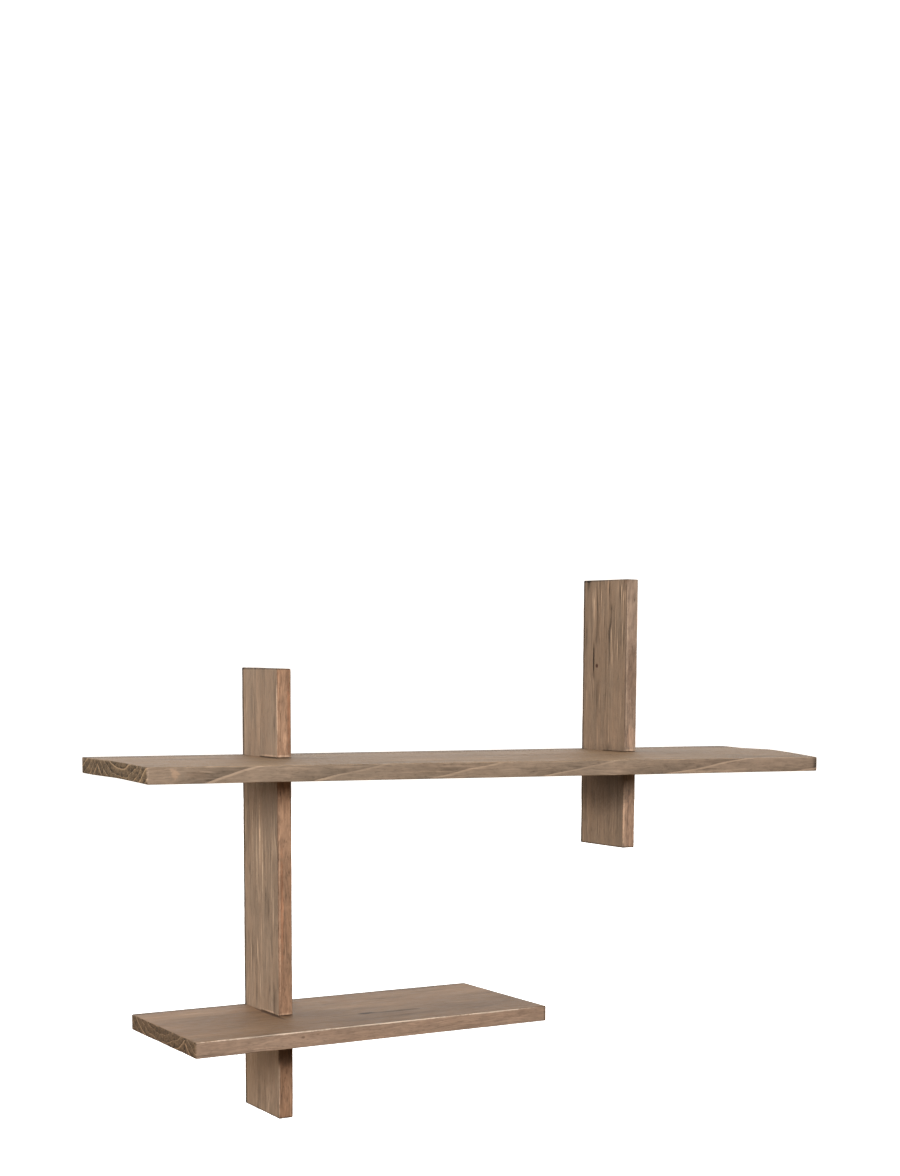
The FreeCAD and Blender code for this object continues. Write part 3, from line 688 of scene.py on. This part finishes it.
bothWays = (0.3, 0.7, -1.0, 1.0)  # a layer that darkens and lightens by turns
shelfWood = {
    "seed": 1.0,
    "broadColour": "#8f7d6c", "edgeColour": "#8c7562", "endColour": "#6f5c4a",
    "warmTint": (1.025, 0.997, 0.975), "coolTint": (0.985, 0.998, 1.005), "waver": 2.5,
    "pith": (-20.0, 184.5), "secondPith": (125.0, 152.5), "staveEdge": 53.0,
    "pithTilt": (0.01, 0.165), "pithBend": -0.00007,
    "ringWidth": 28.0, "ringDrift": 5.0, "ringUneven": 0.3, "ringShift": -0.1,
    # how pale a growth ring is from one line to the next, on the long faces and in the end grain
    "ringProfile": ((0.0, 1.0), (0.02, 0.9), (0.04, 0.5), (0.45, 0.5), (0.8, 0.25), (0.95, 0.15),
                    (0.968, 1.0)),
    "endProfile": ((0.0, 1.0), (0.025, 0.6), (0.05, 0.35), (0.28, 0.2), (0.305, 0.05), (0.33, 0.8),
                   (0.355, 0.4), (0.61, 0.25), (0.635, 0.1), (0.66, 0.95), (0.69, 0.4), (0.93, 0.2),
                   (0.95, 0.05), (0.97, 0.95)),
    "ringContrast": (0.05, 1.0, 1.8),  # here and below: on the broad faces, the edges and the end grain
    "glueLine": (0.8, 2.4, -0.35),  # in the end grain: its half width, where it fades out, how dark
    "streakPatch": (0.0, 1.0, 1.0),  # place along the board, reach, how many times stronger
    # layer, size along, across and through in mm, detail, noise where it starts and is full, levels there
    "layers": (
        ("cloud", (170, 45, 45), 3.0, *bothWays, (0.14, 0.14, 0.1)),
        ("mottle", (12, 6, 5), 3.0, *bothWays, (0.04, 0.12, 0.38)),
        ("broadStreak", (220, 24, 9), 2.0, *bothWays, (0.10, 0.07, 0.0)),
        ("darkStreak", (140, 7, 3), 2.0, 0.58, 0.68, 0.0, 1.0, (-0.2, -0.2, 0.0)),
        ("paleStreak", (80, 6, 2.6), 1.0, 0.58, 0.68, 0.0, 1.0, (0.14, 0.2, 0.0)),
        ("fibre", (20, 3, 1.6), 1.0, *bothWays, (0.04, 0.09, 0.22)),
        # real pores are about 0.3 mm wide, drawn wider so that they show
        ("pore", (7, 2.0, 1.4), 1.0, 0.62, 0.72, 0.0, 1.0, (-0.08, -0.18, -0.25)),
    ),
    # how much paler (or darker) each kind of arris is at the low and the high end of its wear noise: the
    # near front takes rubbed wear and a painted highlight, the far front, back and end take painted shade
    "arrises": {"nearFront": (-0.1, 0.6), "farFront": (-0.3, 0.3), "back": (-0.4, -0.2),
                "end": (-0.3, 0.2)},
    "arrisSpan": (0.84, 0.94),  # how squarely a surface faces one way, in an arris and past its edge
    "seenSide": 1.0,  # the nearFront arris lies on this side of the board's thickness
    "dirt": (),  # painted shade, a dark outline along the back edge and the ends: which of them, where it starts and is full, how dark
    "ringRelief": 0.3, "relief": (("pore", -0.6), ("fibre", 0.35), ("darkStreak", -0.5)),
    "reliefStrength": 0.5, "reliefDepth": 0.6, "roughness": (0.62, 0.78), "gloss": 0.15,
    "markSpan": (0.55, 1.1),  # shares of a mark's half size where it is full and where it ends
    # a mark's place and half sizes along, across and through in mm, how ragged it is, its colour and share
    "marks": (),
}
uprightWood = {
    **shelfWood,
    "seed": 5.0, "warmTint": (1.04, 0.995, 0.96), "coolTint": (0.975, 0.995, 1.01),
    "broadColour": "#8c7864", "edgeColour": "#a07c63", "endColour": "#6f5c4a",
    "pith": (-20.0, 90.0), "secondPith": (-20.0, 90.0), "staveEdge": 500.0,
    "pithTilt": (0.01, 0.0), "pithBend": 0.0, "ringWidth": 27.0, "ringContrast": (0.05, 0.15, 0.6),
    "layers": (
        ("cloud", (130, 34, 34), 3.0, *bothWays, (0.12, 0.14, 0.1)),
        ("mottle", (14, 6, 4), 3.0, *bothWays, (0.06, 0.2, 0.2)),
        ("broadStreak", (240, 14, 7), 2.0, *bothWays, (0.14, 0.15, 0.0)),
        ("darkStreak", (160, 3.2, 2.6), 2.0, 0.56, 0.66, 0.0, 1.0, (-0.26, -0.24, 0.0)),
        ("paleStreak", (95, 2.9, 2.6), 1.0, 0.57, 0.67, 0.0, 1.0, (0.34, 0.24, 0.0)),
        ("fibre", (18, 3.0, 1.6), 1.0, *bothWays, (0.07, 0.12, 0.12)),
        ("pore", (7, 2.0, 1.4), 1.0, 0.62, 0.72, 0.0, 1.0, (-0.14, -0.3, -0.15)),
    ),
    # the far front, back and end arrises painted darker: painted shade where they turn from the light
    "arrises": {"nearFront": (-0.15, 0.15), "farFront": (-0.45, -0.15), "back": (-0.4, -0.2),
                "end": (-0.6, -0.2)},
    "seenSide": -1.0,
}


def makeBoard(settings):
    node = settings["node"]
    low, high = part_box(node)
    centre = (low + high) / 2
    size = high - low
    upright = size.z > size.x
    if upright:
        size = Vector((size.z, size.y, size.x))
    wood = greyWashedHardwood(settings["finish"], settings["wood"], tuple(centre), upright)
    slots, bores = boardCutters(node)
    cells = []
    for i in range(3):
        flat = size[i] / 2 - settings["arrisRadius"] * millimetre
        steps = max(1, round(flat / (settings["spacing"][i] * millimetre)))
        cells.append(2 * (settings["arrisCells"] + steps))
    values = {
        "Size": size, "Centre": centre, "Turn": Euler((0, math.radians(-90) if upright else 0, 0)),
        "Cells Along": cells[0], "Cells Across": cells[1], "Cells Through": cells[2],
        "Slots": slots, "Bores": bores, "Wood": wood,
    }
    name = settings["piece"] + "Shell"
    shell = addObject(name, bpy.data.meshes.new(name))
    modifier = shell.modifiers.new("plank", "NODES")
    modifier.node_group = plank
    for socket in plank.interface.items_tree:
        if socket.in_out == "OUTPUT":
            continue
        value = values.get(socket.name)
        if value is None:
            # Arris Radius, say, has the setting arrisRadius, and every setting that is a float is a length
            value = settings[socket.name[0].lower() + socket.name[1:].replace(" ", "")]
            if socket.socket_type == "NodeSocketFloat":
                value *= millimetre
        modifier[socket.identifier] = value
    evaluated = shell.evaluated_get(bpy.context.evaluated_depsgraph_get())
    mesh = bpy.data.meshes.new_from_object(evaluated)
    mesh.name = settings["piece"]
    shell.modifiers.remove(modifier)
    for scrap in (shell, slots, bores):
        bpy.data.objects.remove(scrap)
    piece = addObject(settings["piece"], mesh)
    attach(piece, "root")
    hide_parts(node)
    print(settings["piece"], "made:", len(mesh.polygons), "faces")


# what the boards share, lengths in mm; near is a shelf's left end or an upright's foot, far the other
handFinish = {
    "arrisCells": 4, "arrisRadius": 1.5, "arrisWander": 0.5, "wanderLength": 30.0,
    "waviness": 0.3, "waveLength": 160.0, "spacing": (3.0, 5.0, 4.0), "seed": (0.0, 0.0, 0.0),
    "cornerRadius": 1.8, "softCorner": (0.0, 0.0, 0.0), "softCornerExtra": 0.0,
    "nearDrop": 0.0, "farDrop": 0.0, "nearRise": 0.0, "farRise": 0.0, "flatBand": 0.0,
    "nearSlant": 0.0, "farSlant": 0.0,
}

upperShelf = {
    **handFinish, "piece": "upperShelf", "node": "upper_shelf", "slot": "upper_shelf_wood",
    "finish": "greyWashedHardwoodUpperShelf", "seed": (1.7, 0.4, 0.9),
    "softCorner": (1.0, 1.0, 0.0), "softCornerExtra": 11.0,
    "nearDrop": 3.0, "farDrop": 7.4, "nearRise": 0.7, "farRise": 1.6, "flatBand": 52.5,
    "nearSlant": 3.8, "farSlant": -2.5,
    "wood": {
        **shelfWood, "broadColour": "#77624b", "edgeColour": "#7d6c5c", "endColour": "#746450",
        # painted shade along the back edge and the far end
        "dirt": (("back", 80.0, 94.0, -0.55), ("farEnd", 493.0, 498.0, -0.4)),
        "marks": (
            ((-466, -105, -2.0), (6, 3, 6), 2.4, "#a8886e", 0.35),  # torn pale wood near the left end
            ((-469, -105, 3.5), (4, 3, 2), 2.2, "#b8987e", 0.3),  # the same, above it
            ((-440, -105, -3.0), (16, 3, 5), 2.0, "#6d5644", 0.3),  # darker wood beside it
            ((-499.5, -104, -2.0), (1.6, 2, 9), 1.2, "#b09a86", 0.5),  # worn left corner
            ((-293.5, 18, 10), (6, 36, 2), 0.9, "#3f3125", 0.8),  # shadow in the left slot
            ((-282, -3, 10), (12, 6, 2), 1.0, "#4a3b2e", 0.5),  # shadow before the left upright
            ((405, -105, -3), (190, 4, 30), 0.4, "#95806e", 0.4),  # paler right half of the front edge: painted light that evens out the key lamp's falloff to the right
            ((236.5, 18, 10), (6, 36, 2), 1.0, "#4a3b2e", 0.6),  # shadow in the right slot
        ),
    },
}
makeBoard(upperShelf)

lowerShelf = {
    **handFinish, "piece": "lowerShelf", "node": "lower_shelf", "slot": "lower_shelf_wood",
    "finish": "greyWashedHardwoodLowerShelf", "seed": (4.1, 2.2, 0.3),
    "wood": {
        **shelfWood, "broadColour": "#745d47", "edgeColour": "#877160", "endColour": "#6b5a48",
        # painted shade along the back edge and the far end
        "dirt": (("back", 93.0, 99.0, -0.6), ("farEnd", 240.5, 243.0, -0.5)),
        "seed": 2.0, "pith": (-140.0, 132.5), "secondPith": (10.0, 165.5), "staveEdge": -72.0,
        "ringContrast": (0.05, 0.2, 1.6),
        # its near front arris is paler still: rubbed wear and a painted highlight
        "arrises": {**shelfWood["arrises"], "nearFront": (0.0, 0.5)},
        "marks": (
            ((-150, -104.3, 9.3), (95, 1.3, 1.3), 1.3, "#c8b6a4", 0.6),  # pale rubbed arris at the left, with a painted highlight along the lit top front edge
            ((10, -104.4, 9.4), (120, 1.2, 1.2), 1.1, "#cdbba8", 0.65),  # the same rubbed arris and painted highlight in the middle
            ((165, -104.3, 9.3), (60, 1.2, 1.2), 1.2, "#c8b6a4", 0.55),  # the same rubbed arris and painted highlight at the right
            ((16.9, -35.6, 10), (14, 6, 3), 0.9, "#3d2e22", 1.0),  # dark flaw
            ((-92, 20, 10), (3.6, 50, 2), 0.9, "#3b2d22", 0.85),  # shadow in the slot
            ((-80, -1.5, 10), (10, 2.5, 2), 1.4, "#43342a", 0.4),  # shadow before the upright
            ((57, -39.0, 10), (44, 4.0, 3), 1.1, "#463729", 0.9),  # streak that runs out of the flaw
            ((-106.2, -105, 2.6), (3, 2, 1.6), 1.4, "#4f4034", 0.6),  # pin knot
        ),
    },
}
makeBoard(lowerShelf)

leftUpright = {
    **handFinish, "piece": "leftUpright", "node": "left_upright", "slot": "left_upright_wood",
    "finish": "greyWashedHardwoodLeftUpright", "seed": (7.3, 1.1, 2.6), "farSlant": 1.7,
    "wood": {
        **uprightWood, "broadColour": "#877768", "edgeColour": "#876953", "endColour": "#6f5c4a",
        # painted shade along the back edge and both ends
        "dirt": (("back", 45.5, 49.0, -0.75), ("farEnd", 281.5, 283.2, -0.6),
                 ("nearEnd", 282.2, 283.6, -0.5)),
        "streakPatch": (15.0, 120.0, 1.7),
        "marks": (
            ((228, -52.5, 6.5), (60, 3, 2.2), 2.0, "#86583e", 0.5),  # red streak at the top
            ((228, -52.5, -2), (60, 3, 5.5), 2.0, "#b8957a", 0.15),  # pale streak beside it
            ((-10, -52.5, -4), (90, 3, 2.2), 2.2, "#86583e", 0.45),  # red streak lower down
            ((228, -52.3, -9.6), (50, 1.2, 1.2), 1.2, "#c4a890", 0.5),  # rubbed arris at the top
            ((20, -52.2, -9.6), (110, 1.2, 1.4), 1.2, "#57453a", 0.5),  # dark arris below
            ((-5, -52.5, -7.4), (150, 3, 1.2), 1.8, "#bf9a80", 0.4),  # pale strip beside it
            ((-235, -52.3, -9.6), (45, 1.4, 1.4), 1.0, "#c4a890", 0.6),  # rubbed arris low down
            ((175, -28, -10), (1.2, 24, 2), 2.0, "#bfa38c", 0.6),  # scuff above the upper shelf
            ((175, -52, 0), (1.3, 2, 12), 1.6, "#c4a58c", 0.5),  # the same on the front
            ((-150, -28, -10), (1.2, 24, 2), 1.8, "#bfa38c", 0.6),  # scuff above the lower shelf
            ((-150, -52, 0), (1.4, 2, 12), 1.4, "#b8967c", 0.4),  # the same on the front
            ((88, -52.5, 0), (44, 3, 20), 0.6, "#a8866c", 0.35),  # paler front under the upper shelf: painted light that lifts the shelf's shadow
            ((-225, 0, -10), (75, 90, 3), 0.5, "#9f8b7a", 0.45),  # greyer wash low down
            ((66, 22, -10), (42, 1.5, 2), 1.5, "#b8a490", 0.45),  # pale streaks on the side
            ((48, 11, -10), (60, 1.7, 2), 1.4, "#bca892", 0.5),
            ((74, 1, -10), (50, 1.6, 2), 1.5, "#c0aa94", 0.5),
            ((30, -7, -10), (48, 1.4, 2), 1.5, "#bca892", 0.5),
            ((52, -16, -10), (56, 1.4, 2), 1.6, "#b8a490", 0.45),
            ((20, -34, -10), (60, 1.3, 2), 1.6, "#b49f8a", 0.45),
            ((-202, -52.5, 0), (19, 3, 22), 0.6, "#3f2d20", 0.6),  # painted shadow on the front under the lower shelf
        ),
    },
}
makeBoard(leftUpright)

rightUpright = {
    **handFinish, "piece": "rightUpright", "node": "right_upright", "slot": "right_upright_wood",
    "finish": "greyWashedHardwoodRightUpright", "seed": (9.9, 3.3, 1.2), "farSlant": 2.2,
    "wood": {
        **uprightWood, "broadColour": "#79695a", "edgeColour": "#857161", "endColour": "#6f5c4a",
        # painted shade along the back edge and both ends
        "dirt": (("back", 46.5, 49.5, -0.7), ("farEnd", 183.6, 185.4, -0.5),
                 ("nearEnd", 184.6, 186.0, -0.45)),
        "seed": 9.0, "streakPatch": (165.0, 120.0, 2.6),
        "marks": (
            ((76, 25.0, -10), (27, 2.1, 2), 0.4, "#241912", 1.0),  # crack
            ((66.6, 16.8, -10), (3.4, 3.4, 2), 0.8, "#3a2018", 0.95),  # pin knot
            ((-50.5, -52, 0), (1.6, 2, 12), 1.6, "#b8997f", 0.5),  # scuff above the shelf
            ((-33, -52.5, 1), (18, 3, 8), 1.3, "#bb967c", 0.4),  # pale patch above it
            ((60, -52.2, -9.6), (125, 1.2, 1.4), 1.2, "#54443a", 0.6),  # dark arris
            ((75, -52.5, -7.4), (120, 3, 1.3), 1.7, "#bfa58e", 0.45),  # pale strip beside it
            ((55, -52.5, 2), (60, 3, 10), 1.7, "#6b5546", 0.5),  # darker wood on the front
            ((-150, -52.3, -9), (48, 1.7, 1.7), 1.8, "#c9a88c", 0.6),  # rubbed arris under the shelf
            ((-155, -52.5, 0), (50, 3, 14), 1.8, "#b48f75", 0.45),  # paler front under the shelf: painted light that lifts the shelf's shadow
            ((-92, 5, -10), (48, 100, 3), 0.5, "#33251b", 0.5),  # painted shadow on the side under the shelf
            ((184, -50, -8), (5, 6, 4), 2.2, "#6f5848", 0.5),  # dark corner at the top
        ),
    },
}
makeBoard(rightUpright)


def zincPlatedSteel(name, look):
    # Pressed sheet and rolled wire under a thin bright zinc coat: grey metal with a soft, slightly cloudy
    # gloss.
    material = bpy.data.materials.new(name)
    material.use_nodes = True
    tree = material.node_tree
    shader = tree.nodes["Principled BSDF"]
    node = partial(addNode, tree)
    place = node("ShaderNodeTexCoord", out="Object")
    cloud = node(noiseNode, {"Vector": place, "Scale": 1000 / look["cloudMm"], "Detail": 3.0})
    scratch = node(noiseNode, {"Vector": place, "Scale": 1000 / look["scratchMm"], "Detail": 2.0})
    colour = node(mixNode, {0: cloud, 6: linearColour(look["darkZinc"]), 7: linearColour(look["paleZinc"])},
                  out=2, data_type="RGBA")
    tree.links.new(colour, shader.inputs["Base Color"])
    roughness = node(rangeNode, {"Value": cloud, "To Min": look["roughness"][0],
                                 "To Max": look["roughness"][1]})
    tree.links.new(roughness, shader.inputs["Roughness"])
    shader.inputs["Metallic"].default_value = 1.0
    bump = node("ShaderNodeBump", {"Height": scratch, "Strength": look["scratchStrength"],
                                   "Distance": look["scratchDepth"] * millimetre})
    tree.links.new(bump, shader.inputs["Normal"])
    return material


scratches = {"scratchStrength": 0.2, "scratchDepth": 0.1}
plateFinish = {**scratches, "darkZinc": "#9a9c9e", "paleZinc": "#c3c5c6", "cloudMm": 4.0, "scratchMm": 0.6,
               "roughness": (0.28, 0.45)}
screwFinish = {**scratches, "darkZinc": "#8f9092", "paleZinc": "#b9bbbd", "cloudMm": 2.0, "scratchMm": 0.4,
               "roughness": (0.22, 0.4)}
plateSteel = zincPlatedSteel("zincPlatedSheetSteel", plateFinish)
screwSteel = zincPlatedSteel("zincPlatedScrewSteel", screwFinish)
for solid in bpy.context.scene.objects:
    if solid.name.endswith("hanger_plate") or "screw" in solid.name:
        for slot in solid.material_slots:
            slot.material = plateSteel if solid.name.endswith("plate") else screwSteel
print("plates and screws finished")
